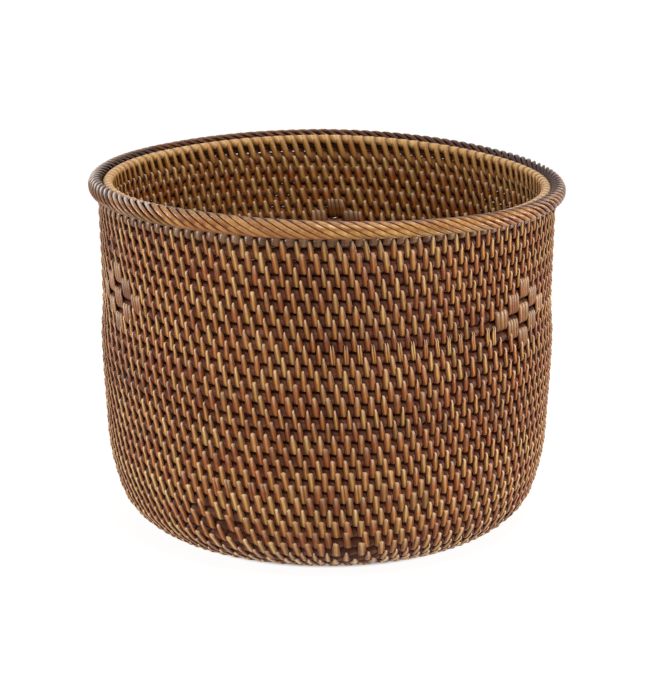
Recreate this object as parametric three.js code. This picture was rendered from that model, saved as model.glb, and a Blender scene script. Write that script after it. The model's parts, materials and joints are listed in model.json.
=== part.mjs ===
// Round planter basket of coiled rattan, with three diamond motifs and a twisted border.
// One long coil of cane runs from the middle of the base, round the rounded foot and up
// the wall. The rim is an inner rail, a hidden filler rod and a border of seven half-round
// strands wound round a hidden hoop.
// Millimetres, +Z up. The origin is the centre of the underside, and the front is -Y.

import * as THREE from 'three';

// Cane and its winding.
const caneWidth = 6.4;
const bindingThickness = 0.65;
const rowGap = 0.5;
const caneTipWidth = 0.6;
const caneTipDepth = 3.1;
const spliceGap = 0.4;
const wallCaneCount = 5;

// Outer face of the wall: the mouth's radius, and how far the wall is drawn in from it at
// each named height.
const coilTopHeight = 189.2;
const mouthRadius = 126.0;
const waistHeight = 132.0;
const waistInset = 1.5;
const bellyHeight = 108.0;
const bellyInset = 0.5;
const lowerWallHeight = 72.0;
const lowerWallInset = 2.2;
const footHeight = 40.0;
const footInset = 5.2;
const tableLineInset = 17.6;

// Rounded foot: the height where the wall starts to turn under, and how far it draws in.
const cornerHeight = 25.8;
const cornerReach = 27.6;

// The coil ends under the rim at this azimuth and starts this far from the middle.
// Azimuth 0 is the front, and 90 is +X.
const coilEndAzimuth = -60;
const baseStartRadius = 10.1;

// Diamond motifs: five rows of one, two, three, two and one wide wraps each. A motif's depth
// is how far its middle row lies below the top of the coil.
const motifAzimuths = [-63.9, 57.5, 177.5];
const motifWrapWidth = 8.8;
const motifWrapPitch = 20;
const motifWrapThickness = 0.8;
const motifWrapTuck = 2.1;
const motifSeat = 0.3;
const motifRowBlocks = [1, 2, 3, 2, 1];
const motifDepths = [51.55, 56.15, 53.85];

// Rim: the border's oval section, its strands and hoop, the inner rail and the filler rod.
const borderWidth = 7.7;
const borderHeight = 10.5;
const borderOverhang = 5.2;
const rimSeat = 0.3;
const strandCount = 7;
const strandTurns = 18;
const strandWidth = 2.2;
const strandThickness = 1.5;
const hoopWidth = 2.6;
const hoopHeight = 5.2;
const railDiameter = 4.6;
const railRise = 5.8;
const fillerDiameter = 3.2;
const fillerOffset = 0.4;

// Fineness of the faceted solids, and of the lines that they are measured along.
const coilSteps = 18;
const strandStepsPerTurn = 8;
const railSteps = 36;
const hoopSteps = 54;
const wallLineSteps = 160;
const cornerLineSteps = 60;
const ovalLineSteps = 720;

// Sizes that follow from the ones above.
const coilDepth = caneWidth + 2 * bindingThickness;
const rowPitch = caneWidth + rowGap;
const baseCentreHeight = coilDepth / 2;
const coilTopRadius = mouthRadius - coilDepth / 2;
const facetFit = (1 + 1 / Math.cos(Math.PI / coilSteps)) / 2;
const borderRadius = mouthRadius + borderOverhang - borderWidth / 2;
const borderCentreHeight = coilTopHeight + rimSeat + borderHeight / 2;

function rattan(color, roughness) {
  return new THREE.MeshStandardMaterial({ color, roughness, metalness: 0 });
}

const caneMaterial = rattan('#54372b', 0.45);
const wrapMaterial = rattan('#bd8a55', 0.5);
const borderMaterial = rattan('#c99a62', 0.45);

const planter = new THREE.Group();

function addPiece(name, geometry, material) {
  const piece = new THREE.Mesh(geometry, material);
  piece.name = name;
  planter.add(piece);
}

// A point on a circle round the vertical axis.
function onCircle(radius, azimuth, height) {
  const angle = THREE.MathUtils.degToRad(azimuth);
  return new THREE.Vector3(radius * Math.sin(angle), -radius * Math.cos(angle), height);
}

// A closed solid swept through a list of rings, each a list of points in the same order.
// Both ends are closed by triangles from the first point, so a hollow corner comes first.
function sweptSolid(rings) {
  const sides = rings[0].length;
  const last = rings.length - 1;
  const triangles = [];
  for (let i = 0; i < last; i += 1) {
    for (let j = 0; j < sides; j += 1) {
      const a = i * sides + j;
      const b = i * sides + ((j + 1) % sides);
      triangles.push(a, b, b + sides);
      triangles.push(a, b + sides, a + sides);
    }
  }
  for (let j = 1; j < sides - 1; j += 1) {
    triangles.push(0, j + 1, j);
    triangles.push(last * sides, last * sides + j, last * sides + j + 1);
  }
  const geometry = new THREE.BufferGeometry().setFromPoints(rings.flat());
  geometry.setIndex(triangles);
  if (signedVolume(geometry) < 0) {
    geometry.setIndex(triangles.slice().reverse());
  }
  geometry.computeVertexNormals();
  return geometry;
}

function signedVolume(geometry) {
  const position = geometry.getAttribute('position');
  const corner = [new THREE.Vector3(), new THREE.Vector3(), new THREE.Vector3()];
  const index = geometry.getIndex();
  let volume = 0;
  for (let i = 0; i < index.count; i += 3) {
    corner.forEach((point, k) => point.fromBufferAttribute(position, index.getX(i + k)));
    volume += corner[0].dot(corner[1].clone().cross(corner[2])) / 6;
  }
  return volume;
}

// The line along the middle of the coil, seen in section: x is the radius and y the height.
// It starts at the level top edge, goes down the wall, round the foot and in to the middle.
function coilLine() {
  const outerFace = new THREE.SplineCurve([
    new THREE.Vector2(mouthRadius, coilTopHeight),
    new THREE.Vector2(mouthRadius - waistInset, waistHeight),
    new THREE.Vector2(mouthRadius - bellyInset, bellyHeight),
    new THREE.Vector2(mouthRadius - lowerWallInset, lowerWallHeight),
    new THREE.Vector2(mouthRadius - footInset, footHeight),
    new THREE.Vector2(mouthRadius - tableLineInset, 0),
  ]);
  const face = outerFace.getPoints(2 * wallLineSteps);
  const faceRadius = (height) => {
    const below = Math.max(1, face.findIndex((point) => point.y <= height));
    const upper = face[below - 1];
    const lower = face[below];
    const share = (upper.y - height) / (upper.y - lower.y);
    return upper.x + (lower.x - upper.x) * share;
  };
  const line = [];
  for (let i = 0; i < wallLineSteps; i += 1) {
    const height = coilTopHeight + ((cornerHeight - coilTopHeight) * i) / wallLineSteps;
    line.push(new THREE.Vector2(faceRadius(height) - coilDepth / 2, height));
  }
  const drop = cornerHeight - baseCentreHeight;
  const drawIn = cornerReach - coilDepth / 2;
  for (let i = 0; i <= cornerLineSteps; i += 1) {
    const angle = (Math.PI / 2) * (i / cornerLineSteps);
    const height = cornerHeight - drop * Math.sin(angle);
    const radius = faceRadius(height) - coilDepth / 2 - drawIn * (1 - Math.cos(angle));
    line.push(new THREE.Vector2(radius, height));
  }
  line.push(new THREE.Vector2(0, baseCentreHeight));
  return line;
}

const coilPath = coilLine();
const coilDistances = [0];
for (let i = 1; i < coilPath.length; i += 1) {
  coilDistances.push(coilDistances[i - 1] + coilPath[i].distanceTo(coilPath[i - 1]));
}

// Distances past either end of the line run on straight.
function pointAtDistance(distance) {
  let next = 1;
  while (next < coilPath.length - 1 && coilDistances[next] < distance) {
    next += 1;
  }
  const stretch = coilDistances[next] - coilDistances[next - 1];
  const share = (distance - coilDistances[next - 1]) / stretch;
  return coilPath[next - 1].clone().lerp(coilPath[next], share);
}

// Turns are counted down from the coil's end under the rim. The last turn up is thinned,
// so that the top edge is level.
function rowWidth(turn) {
  return Math.max(caneTipWidth, Math.min(caneWidth, rowPitch * turn - rowGap));
}

function rowDistance(turn) {
  return turn >= 1 ? caneWidth / 2 + rowPitch * (turn - 1) : rowWidth(turn) / 2;
}

function turnAtDistance(distance) {
  return 1 + (distance - caneWidth / 2) / rowPitch;
}

// A point of the cane's section at a turn: across runs up the wall from -1 to 1, and depth
// runs through the wall, with the outer face at 1.
function sectionPoint(turn, across, depth) {
  const distance = rowDistance(turn);
  const width = rowWidth(turn);
  const fullness = width / caneWidth;
  const thickness = caneTipDepth + (coilDepth - caneTipDepth) * fullness;
  const centre = pointAtDistance(distance);
  const slope = pointAtDistance(distance + 1).sub(pointAtDistance(distance - 1)).normalize();
  const up = across * (width / 2);
  const out = depth * (thickness / 2);
  const radius = centre.x - slope.x * up - slope.y * out;
  const height = centre.y - slope.y * up + slope.x * out;
  return onCircle(radius * facetFit, coilEndAzimuth - 360 * turn, height);
}

// The coil is faceted: every turn has its corners at the same azimuths, so that rows lie
// side by side. Between two corners it runs straight.
const nearCorner = 0.01;

function coilPoint(turn, across, depth) {
  const before = Math.floor(turn * coilSteps + nearCorner);
  const start = sectionPoint(before / coilSteps, across, depth);
  const end = sectionPoint((before + 1) / coilSteps, across, depth);
  return start.lerp(end, turn * coilSteps - before);
}

// Turns at the two ends of a stretch of the coil and at each corner between them.
function turnsBetween(startTurn, endTurn) {
  const turns = [startTurn];
  const lastCorner = endTurn * coilSteps - nearCorner;
  for (let corner = Math.ceil(startTurn * coilSteps + nearCorner); corner < lastCorner; corner += 1) {
    turns.push(corner / coilSteps);
  }
  turns.push(endTurn);
  return turns;
}

function alongCoil(startTurn, endTurn, section) {
  const rings = turnsBetween(startTurn, endTurn).map((turn) => section
    .map(([across, depth, rowsUp = 0]) => coilPoint(turn - rowsUp, across, depth)));
  return sweptSolid(rings);
}

// The cane's section has a corner towards each neighbouring row, and a flat outer and inner
// face of half its width. A section's points are given by across and depth, and by the
// number of rows up where they aren't on the row itself.
const faceShare = 0.5;
const caneSection = [
  [1, 0],
  [faceShare, 1],
  [-faceShare, 1],
  [-1, 0],
  [-faceShare, -1],
  [faceShare, -1],
];

// Turns where one cane ends and the next is spliced on.
const coilLength = coilDistances[coilDistances.length - 1];
const baseStartTurn = turnAtDistance(coilLength - baseStartRadius);
const tipTurn = (caneTipWidth + rowGap) / rowPitch;
const footIndex = coilPath.findIndex((point) => point.y <= cornerHeight);
const footTurn = turnAtDistance(coilDistances[footIndex]);
const floorTurn = turnAtDistance(coilDistances[coilDistances.length - 2]);

function spliceShare(turn) {
  const radius = pointAtDistance(rowDistance(turn)).x;
  return spliceGap / (2 * Math.PI * radius);
}

function addCane(name, startTurn, endTurn) {
  addPiece(name, alongCoil(startTurn, endTurn - spliceShare(endTurn), caneSection), caneMaterial);
}

for (let i = 0; i < wallCaneCount; i += 1) {
  const start = tipTurn + ((footTurn - tipTurn) * i) / wallCaneCount;
  const end = tipTurn + ((footTurn - tipTurn) * (i + 1)) / wallCaneCount;
  addCane(`wall_cane_${i + 1}`, start, end);
}
addCane('foot_cane', footTurn, floorTurn);
addCane('base_cane', floorTurn, baseStartTurn);

// The bound start of the coil, snail-shaped, so that it fills the middle of the first turn.
function baseStart() {
  const edge = -1 - rowGap / (caneWidth / 2);
  const outline = turnsBetween(baseStartTurn - 1, baseStartTurn).map((turn) => {
    const point = coilPoint(turn, edge, 0);
    return new THREE.Vector2(point.x, point.y);
  });
  return new THREE.ExtrudeGeometry(new THREE.Shape(outline), { depth: coilDepth, bevelEnabled: false });
}

addPiece('base_start', baseStart(), wrapMaterial);

// A wide wrap of a motif comes out of the middle of the cane above, lies over the cane that
// it wraps and turns in along that cane's lower side, at an even distance from both.
function wrapSection() {
  const halfWidth = caneWidth / 2;
  const halfDepth = coilDepth / 2;
  const faceEdge = halfWidth * faceShare;
  const side = new THREE.Vector2(faceEdge - halfWidth, -halfDepth).normalize();
  const mitre = Math.tan(Math.acos(-side.x) / 2);
  const inner = motifSeat;
  const outer = motifSeat + motifWrapThickness;
  const bend = (away) => new THREE.Vector2(-faceEdge - away * mitre, halfDepth + away);
  const tucked = (away) => bend(away).addScaledVector(side, motifWrapTuck);
  const onRow = (point) => [point.x / halfWidth, point.y / halfDepth];
  const onRowAbove = (away) => [0, 1 + away / halfDepth, 1];
  return [
    onRow(bend(inner)),
    onRowAbove(inner),
    onRowAbove(outer),
    onRow(bend(outer)),
    onRow(tucked(outer)),
    onRow(tucked(inner)),
  ];
}

function motifWrap(turn) {
  const radius = pointAtDistance(rowDistance(turn)).x;
  const halfTurn = motifWrapWidth / 2 / (2 * Math.PI * radius);
  return alongCoil(turn - halfTurn, turn + halfTurn, wrapSection());
}

motifAzimuths.forEach((azimuth, motif) => {
  const height = coilTopHeight - motifDepths[motif];
  const index = coilPath.findIndex((point) => point.y <= height);
  const nearTurn = turnAtDistance(coilDistances[index]);
  const phase = (coilEndAzimuth - azimuth) / 360;
  const middleTurn = phase + Math.round(nearTurn - phase);
  motifRowBlocks.forEach((blocks, row) => {
    const rowTurn = middleTurn + row - (motifRowBlocks.length - 1) / 2;
    for (let block = 0; block < blocks; block += 1) {
      const shift = (block - (blocks - 1) / 2) * motifWrapPitch;
      const radius = pointAtDistance(rowDistance(rowTurn)).x;
      const turn = rowTurn - shift / (2 * Math.PI * radius);
      addPiece(`motif_${motif + 1}_wrap_${row + 1}_${block + 1}`, motifWrap(turn), wrapMaterial);
    }
  });
});

// A hoop with a butt joint at the back: an oval of six corners swept once round.
function openHoop(radius, height, width, tall, steps) {
  const joint = THREE.MathUtils.radToDeg(spliceGap / radius);
  const corners = new THREE.EllipseCurve(0, 0, width / 2, tall / 2).getPoints(6).slice(0, 6);
  const rings = [];
  for (let i = 0; i <= steps; i += 1) {
    const azimuth = 180 + joint / 2 + ((360 - joint) * i) / steps;
    rings.push(corners.map((corner) => onCircle(radius + corner.x, azimuth, height + corner.y)));
  }
  return sweptSolid(rings);
}

const railRadius = borderRadius - borderWidth / 2 - rimSeat - railDiameter / 2;
const fillerHeight = coilTopHeight + rimSeat + fillerDiameter / 2;
addPiece('rim_rail',
  openHoop(railRadius, coilTopHeight + railRise, railDiameter, railDiameter, railSteps),
  caneMaterial);
addPiece('rim_filler',
  openHoop(coilTopRadius + fillerOffset, fillerHeight, fillerDiameter, fillerDiameter, railSteps),
  caneMaterial);
addPiece('rim_hoop',
  openHoop(borderRadius, borderCentreHeight, hoopWidth, hoopHeight, hoopSteps),
  caneMaterial);

// The border's strands run round an oval at an even pace, so that they keep their distance.
// A share of 0 or 1 is at the front, and the strands' ends meet at the back.
const ovalWidth = borderWidth - strandThickness;
const ovalHeight = borderHeight - strandThickness;
const oval = new THREE.EllipseCurve(0, 0, ovalWidth / 2, ovalHeight / 2);
oval.arcLengthDivisions = ovalLineSteps;

// A strand is half round: flat towards the hoop and ridged outwards.
const strandSection = [[-0.5, -0.4], [0, 0.6], [0.5, -0.4]];

function strandCentre(strand, share) {
  const wound = strand / strandCount - strandTurns * share;
  const point = oval.getPointAt(wound - Math.floor(wound));
  return onCircle(borderRadius + point.x, 360 * share, borderCentreHeight + point.y);
}

function strandRing(strand, share) {
  const step = 1e-4;
  const centre = strandCentre(strand, share);
  const along = strandCentre(strand, share + step).sub(strandCentre(strand, share - step)).normalize();
  const middle = onCircle(borderRadius, 360 * share, borderCentreHeight);
  const wound = strand / strandCount - strandTurns * share;
  const tangent = oval.getTangentAt(wound - Math.floor(wound));
  const radial = middle.clone().setZ(0).normalize();
  const outward = radial.multiplyScalar(tangent.y).add(new THREE.Vector3(0, 0, -tangent.x));
  outward.addScaledVector(along, -outward.dot(along)).normalize();
  const across = new THREE.Vector3().crossVectors(along, outward);
  return strandSection.map(([side, out]) => centre.clone()
    .addScaledVector(across, side * strandWidth)
    .addScaledVector(outward, out * strandThickness));
}

// The corners of a strand's facets, in turns round the oval. The oval turns as far from each
// corner to the next, so that no facet folds where the oval is tight.
const ovalLengths = oval.getLengths(ovalLineSteps);

function windingAtCorner(corner) {
  const wholeTurns = Math.floor(corner / strandStepsPerTurn);
  const turned = 2 * Math.PI * (corner / strandStepsPerTurn - wholeTurns);
  const angle = Math.atan2(ovalHeight * Math.sin(turned), ovalWidth * Math.cos(turned));
  const place = (angle / (2 * Math.PI) + 1) % 1;
  return wholeTurns + ovalLengths[Math.round(place * ovalLineSteps)] / ovalLengths[ovalLineSteps];
}

function borderStrand(strand) {
  const joint = spliceGap / (2 * Math.PI * borderRadius);
  const first = 0.5 + joint / 2;
  const last = 1.5 - joint / 2;
  const leastStep = 1 / (4 * strandTurns * strandStepsPerTurn);
  const shares = [last];
  let corner = Math.floor((strand / strandCount - strandTurns * last) * strandStepsPerTurn);
  let share = last;
  while (share > first) {
    corner += 1;
    share = (strand / strandCount - windingAtCorner(corner)) / strandTurns;
    if (share < last - leastStep && share > first + leastStep) {
      shares.push(share);
    }
  }
  shares.push(first);
  return sweptSolid(shares.map((place) => strandRing(strand, place)));
}

for (let strand = 0; strand < strandCount; strand += 1) {
  addPiece(`border_strand_${strand + 1}`, borderStrand(strand), borderMaterial);
}

// The least gap between neighbouring rows of the coil, measured on points of their faces.
function leastRowGap() {
  const pointsPerSide = 4;
  const points = [];
  caneSection.forEach((corner, side) => {
    const a = new THREE.Vector2(...corner);
    const b = new THREE.Vector2(...caneSection[(side + 1) % caneSection.length]);
    for (let i = 0; i < pointsPerSide; i += 1) {
      points.push(a.clone().lerp(b, i / pointsPerSide));
    }
  });
  let least = Infinity;
  for (let turn = tipTurn; turn + 1 < baseStartTurn; turn += 1 / (4 * coilSteps)) {
    const row = points.map((point) => coilPoint(turn, point.x, point.y));
    const next = points.map((point) => coilPoint(turn + 1, point.x, point.y));
    row.forEach((a) => next.forEach((b) => {
      least = Math.min(least, a.distanceTo(b));
    }));
  }
  return least;
}

console.log(`least gap between rows of the coil: ${leastRowGap().toFixed(3)} mm`);

export default planter;
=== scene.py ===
# %% [markdown]
# # A basket planter of coiled rattan
#
# The basket is one long coil. A round cane, as thick as a pencil, runs in a spiral from the
# middle of the base, round the foot and up the wall, and a narrow strip of split rattan laces
# each row to the row above. Three diamonds of wide wraps decorate the wall. The mouth is
# finished with an inner rail and a twisted border of seven strands.
#
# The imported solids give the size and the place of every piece. This script dresses them: each
# cane, strip and strand is modelled once more, round and with its finish.
#
# The basket is measured in millimetres, as a basket maker would, and its sizes are turned into
# metres when a mesh is made. Only the studio around it is given in metres.

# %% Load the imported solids
import bisect
import json
import math

import bmesh
import bpy
import numpy as np
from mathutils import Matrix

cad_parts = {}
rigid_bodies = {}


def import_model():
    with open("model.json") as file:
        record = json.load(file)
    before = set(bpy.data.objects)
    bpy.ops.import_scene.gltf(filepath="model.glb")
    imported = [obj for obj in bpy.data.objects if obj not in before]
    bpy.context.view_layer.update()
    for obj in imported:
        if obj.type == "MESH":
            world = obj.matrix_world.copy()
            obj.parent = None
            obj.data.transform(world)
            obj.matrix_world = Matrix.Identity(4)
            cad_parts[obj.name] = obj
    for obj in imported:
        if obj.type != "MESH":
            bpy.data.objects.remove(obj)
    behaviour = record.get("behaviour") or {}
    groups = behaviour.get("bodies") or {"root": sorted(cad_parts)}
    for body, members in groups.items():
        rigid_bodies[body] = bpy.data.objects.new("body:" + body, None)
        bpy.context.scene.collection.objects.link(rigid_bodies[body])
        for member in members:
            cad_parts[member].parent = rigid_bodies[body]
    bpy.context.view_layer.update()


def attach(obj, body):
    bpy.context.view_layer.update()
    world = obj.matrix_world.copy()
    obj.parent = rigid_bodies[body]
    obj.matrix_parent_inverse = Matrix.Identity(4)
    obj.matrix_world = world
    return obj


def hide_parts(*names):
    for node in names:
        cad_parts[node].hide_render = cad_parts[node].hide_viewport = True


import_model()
MM = 0.001
chance = np.random.default_rng(41)

# %% [markdown]
# ## The camera
#
# The photograph looks a little down on the basket from the front. A camera placed by eye would
# put every size off a little, so this one is fitted to the ellipse of the rim and to the
# outline. It has a long lens, as is usual for pictures of goods.

# %% Camera, in metres
LOOK_AT = (0.0, 0.0, 0.0969)
CAMERA_DISTANCE = 1.512
CAMERA_ELEVATION = math.radians(14.918)
IMAGE_HEIGHT = 700
FOCAL_PIXELS = 2693.7
SENSOR_HEIGHT = 24

camera_data = bpy.data.cameras.new("photo_camera")
camera = bpy.data.objects.new("photo_camera", camera_data)
bpy.context.scene.collection.objects.link(camera)
bpy.context.scene.camera = camera
camera.location = (
    LOOK_AT[0],
    LOOK_AT[1] - CAMERA_DISTANCE * math.cos(CAMERA_ELEVATION),
    LOOK_AT[2] + CAMERA_DISTANCE * math.sin(CAMERA_ELEVATION),
)
camera.rotation_euler = (math.pi / 2 - CAMERA_ELEVATION, 0, 0)
camera_data.sensor_fit = "VERTICAL"
camera_data.sensor_height = SENSOR_HEIGHT
camera_data.lens = SENSOR_HEIGHT * FOCAL_PIXELS / IMAGE_HEIGHT
camera_data.clip_start = 0.05
print("lens", round(camera_data.lens, 2), "mm on a sensor", SENSOR_HEIGHT, "mm high")


# %% [markdown]
# ## Writing materials as sums
#
# A shader is a network of nodes. It reads more easily as Python sums, so one small class wraps
# a socket and lets +, - and * add the Math nodes, also where a number comes first, as in
# 1 - mask. Every other node comes from one method.

# %% A socket that can be added and multiplied
class Wire:
    def __init__(self, finish, socket):
        self.finish = finish
        self.socket = socket

    def sum(self, operation, first, second):
        return self.finish.node("ShaderNodeMath", {"operation": operation}, {0: first, 1: second})

    def __add__(self, other):
        return self.sum("ADD", self, other)

    def __sub__(self, other):
        return self.sum("SUBTRACT", self, other)

    def __rsub__(self, other):
        return self.sum("SUBTRACT", other, self)

    def __mul__(self, other):
        return self.sum("MULTIPLY", self, other)

    __radd__ = __add__
    __rmul__ = __mul__


def paint(code):
    """A colour written as six sRGB hex digits, as the linear values that shaders use."""
    values = [int(code[i : i + 2], 16) / 255 for i in (0, 2, 4)]
    linear = [v / 12.92 if v <= 0.04045 else ((v + 0.055) / 1.055) ** 2.4 for v in values]
    return (*linear, 1.0)


# %% The nodes of a material, or of the world
class Finish:
    def __init__(self, owner):
        owner.use_nodes = True
        self.owner = owner
        self.tree = owner.node_tree
        self.tree.nodes.clear()

    def node(self, kind, settings=None, inputs=None, output=0):
        made = self.tree.nodes.new(kind)
        for key, value in (settings or {}).items():
            if key == "ramp":
                self.set_ramp(made.color_ramp, value)
            else:
                setattr(made, key, value)
        for key, value in (inputs or {}).items():
            if isinstance(value, Wire):
                self.tree.links.new(value.socket, made.inputs[key])
            else:
                made.inputs[key].default_value = value
        return Wire(self, made.outputs[output])

    def set_ramp(self, ramp, stops):
        while len(ramp.elements) < len(stops):
            ramp.elements.new(1.0)
        for element, (place, code) in zip(ramp.elements, stops):
            element.position = place
            element.color = paint(code)

    def attribute(self, name, output="Fac"):
        return self.node("ShaderNodeAttribute", {"attribute_name": name}, output=output)

    def noise(self, vector, stretch, detail):
        placed = self.node("ShaderNodeMapping", {}, {"Vector": vector, "Scale": stretch})
        inputs = {"Vector": placed, "Scale": 1.0, "Detail": detail}
        return self.node("ShaderNodeTexNoise", {}, inputs)

    def ramp(self, value, stops):
        return self.node("ShaderNodeValToRGB", {"ramp": stops}, {"Fac": value})

    def level(self, value, low, high, new_low=0.0, new_high=1.0):
        inputs = {0: value, 1: low, 2: high, 3: new_low, 4: new_high}
        return self.node("ShaderNodeMapRange", {}, inputs)

    def mix(self, share, first, second):
        inputs = {0: share, 6: first, 7: second}
        return self.node("ShaderNodeMix", {"data_type": "RGBA"}, inputs, output=2)

    def surface(self, **sockets):
        self.show(self.node("ShaderNodeBsdfPrincipled", {}, sockets))
        return self.owner

    def show(self, shader, output="ShaderNodeOutputMaterial"):
        out = self.tree.nodes.new(output)
        self.tree.links.new(shader.socket, out.inputs["Surface"])


# %% [markdown]
# ## The floor, the world and the lamps
#
# The basket was photographed on white, in soft light from both sides. White could come from
# strong lamps, but they would bleach the rattan. So the floor and the world glow, whiter to the
# rays that the camera sees than to those that light the basket.
#
# The rest of the floor's finish is matt paint, which takes the basket's shadow. The floor does
# not glow under the basket, where white would show between the rows of the base. It lies a hair
# below zero, because the strips under the base stand out of the canes by that much.

# %% Floor and world, in metres
FLOOR_LEVEL = -0.0006
FLOOR_SIZE = 12
FLOOR_PAINT = "e6e4e0"
FLOOR_STRENGTH = 1.1
FLOOR_SEEN = 0.86
FLOOR_UNSEEN = 0.75
DARK_UP_TO = 0.084
GLOW_FROM = 0.09
AMBIENT = 0.54
WHITE = (1, 1, 1, 1)


def seen_share(finish):
    """1 for rays of the camera, also when they are mirrored or let through, and 0 for others."""
    rays = ("Is Camera Ray", "Is Glossy Ray", "Is Transmission Ray")
    seen, mirrored, through = [finish.node("ShaderNodeLightPath", output=ray) for ray in rays]
    return seen + mirrored + through


studio = Finish(bpy.data.materials.new("studio_floor"))
matt = studio.node("ShaderNodeBsdfDiffuse", {}, {"Color": paint(FLOOR_PAINT)})
glow = studio.node("ShaderNodeEmission", {}, {"Color": WHITE, "Strength": FLOOR_STRENGTH})
on_floor = studio.node("ShaderNodeTexCoord", output="Object")
from_middle = studio.node(
    "ShaderNodeVectorMath", {"operation": "LENGTH"}, {0: on_floor}, output="Value"
)
glow_share = seen_share(studio) * (FLOOR_SEEN - FLOOR_UNSEEN) + FLOOR_UNSEEN
glow_share = glow_share * studio.level(from_middle, DARK_UP_TO, GLOW_FROM)
studio.show(studio.node("ShaderNodeMixShader", {}, {0: glow_share, 1: matt, 2: glow}))

bpy.ops.object.select_all(action="DESELECT")
bpy.ops.mesh.primitive_plane_add(size=FLOOR_SIZE, location=(0, 0, FLOOR_LEVEL))
floor = bpy.context.object
floor.name = "studio_floor_plane"
floor.data.materials.append(studio.owner)

world = bpy.data.worlds.new("studio_world")
bpy.context.scene.world = world
sky = Finish(world)
strength = sky.level(seen_share(sky), 0.0, 1.0, AMBIENT, 1.0)
background = sky.node("ShaderNodeBackground", {}, {"Color": WHITE, "Strength": strength})
sky.show(background, "ShaderNodeOutputWorld")
print("floor", floor.name, "world", world.name)


# %% Lamps, in metres
def soft_lamp(name, place, size, watts):
    data = bpy.data.lights.new(name, "AREA")
    data.shape = "DISK"
    data.size = size
    data.energy = watts
    lamp = bpy.data.objects.new(name, data)
    bpy.context.scene.collection.objects.link(lamp)
    lamp.location = place
    aim = np.array(LOOK_AT) - np.array(place)
    flat = math.hypot(aim[0], aim[1])
    lamp.rotation_euler = (math.atan2(flat, -aim[2]), 0, math.atan2(-aim[0], aim[1]))


soft_lamp("left_lamp", (-1.6, 0.0, 0.17), 0.5, 17.5)
soft_lamp("right_lamp", (1.6, -0.05, 0.17), 0.5, 19)
soft_lamp("front_lamp", (0.3, -1.0, 1.7), 0.4, 17)
soft_lamp("top_lamp", (0.1, 0.5, 1.7), 0.8, 6)
bpy.context.scene.view_settings.view_transform = "Standard"

# %% [markdown]
# ## The line of the coil
#
# Cut the basket through its axis and the rows of cane lie on one line: down the wall, round the
# foot and in to the middle of the base. A distance along that line, measured from the level top
# edge, says which row we are on. A turn count says where we are along the coil, because each
# turn round the basket moves one row down. With these two numbers a cane or a strip is placed
# anywhere on the basket, which spares us from wrapping flat pieces round it afterwards.
#
# No hand lays the rows quite evenly. They lie a millimetre low in front and high behind.

# %% Sizes of the coil, in millimetres
CANE_WIDTH = 6.4
BINDING = 0.65
ROW_GAP = 0.5
TIP_WIDTH = 0.6
COIL_DEPTH = CANE_WIDTH + 2 * BINDING
ROW_PITCH = CANE_WIDTH + ROW_GAP
COIL_TOP = 189.2
MOUTH_RADIUS = 126.0
# Height on the wall, and how far its face lies inside the mouth there
WALL_INSETS = [(189.2, 0.0), (132.0, 1.5), (108.0, 0.5), (72.0, 2.2), (40.0, 5.2), (0.0, 17.6)]
CORNER_HEIGHT = 25.8
CORNER_REACH = 27.6
COIL_END_AZIMUTH = -60.0
BASE_START_RADIUS = 10.1
print("a row every", ROW_PITCH, "mm, on a coil", round(COIL_DEPTH, 2), "mm deep")

# %% The line of the rows
FACE_STEPS = 400
WALL_STEPS = 240
CORNER_STEPS = 90
BASE_STEPS = 120


def length_along(points):
    """The distance from the first point to each point, measured along them."""
    return np.concatenate([[0], np.cumsum(np.linalg.norm(np.diff(points, axis=0), axis=1))])


def rise(value, low, high):
    """0 up to low, 1 from high on, and evenly rising in between."""
    return np.clip((value - low) / (high - low), 0, 1)


def through_points(points, count):
    """An even curve through a few points, as (count, 2) numbers."""
    p = np.array([points[0], *points, points[-1]], float)
    at = np.linspace(0, len(points) - 1, count)
    i = np.minimum(at.astype(int), len(points) - 2)
    t = (at - i)[:, None]
    p0, p1, p2, p3 = p[i], p[i + 1], p[i + 2], p[i + 3]
    v0, v1 = (p2 - p0) / 2, (p3 - p1) / 2
    cubic = 2 * p1 - 2 * p2 + v0 + v1
    square = 3 * p2 - 3 * p1 - 2 * v0 - v1
    return cubic * t**3 + square * t**2 + v0 * t + p1


def coil_line():
    """Radius and height along the middle of the canes, from the top edge in to the axis."""
    face = through_points([(h, MOUTH_RADIUS - inset) for h, inset in WALL_INSETS], FACE_STEPS)[::-1]

    def middle_radius(height):
        return np.interp(height, face[:, 0], face[:, 1]) - COIL_DEPTH / 2

    wall_height = np.linspace(COIL_TOP, CORNER_HEIGHT, WALL_STEPS, endpoint=False)
    wall = np.stack([middle_radius(wall_height), wall_height], 1)
    angle = np.linspace(0, math.pi / 2, CORNER_STEPS)
    height = CORNER_HEIGHT - (CORNER_HEIGHT - COIL_DEPTH / 2) * np.sin(angle)
    drawn_in = (CORNER_REACH - COIL_DEPTH / 2) * (1 - np.cos(angle))
    corner = np.stack([middle_radius(height) - drawn_in, height], 1)
    base_radius = np.linspace(corner[-1, 0], 0, BASE_STEPS)[1:]
    base = np.stack([base_radius, np.full(len(base_radius), COIL_DEPTH / 2)], 1)
    return np.concatenate([wall, corner, base])


line = coil_line()
line_distance = length_along(line)
COIL_LENGTH = line_distance[-1]
print("the line is", round(COIL_LENGTH, 1), "mm long in section")

# %% Places on the coil
NEARBY = 1.5


def on_line(distance):
    """Radius and height at distances along the line. Past either end it runs on straight."""
    above = np.minimum(distance, 0.0)
    beyond = np.maximum(distance - COIL_LENGTH, 0)
    radius = np.interp(distance, line_distance, line[:, 0]) - beyond
    return radius, np.interp(distance, line_distance, line[:, 1]) - above


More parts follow.
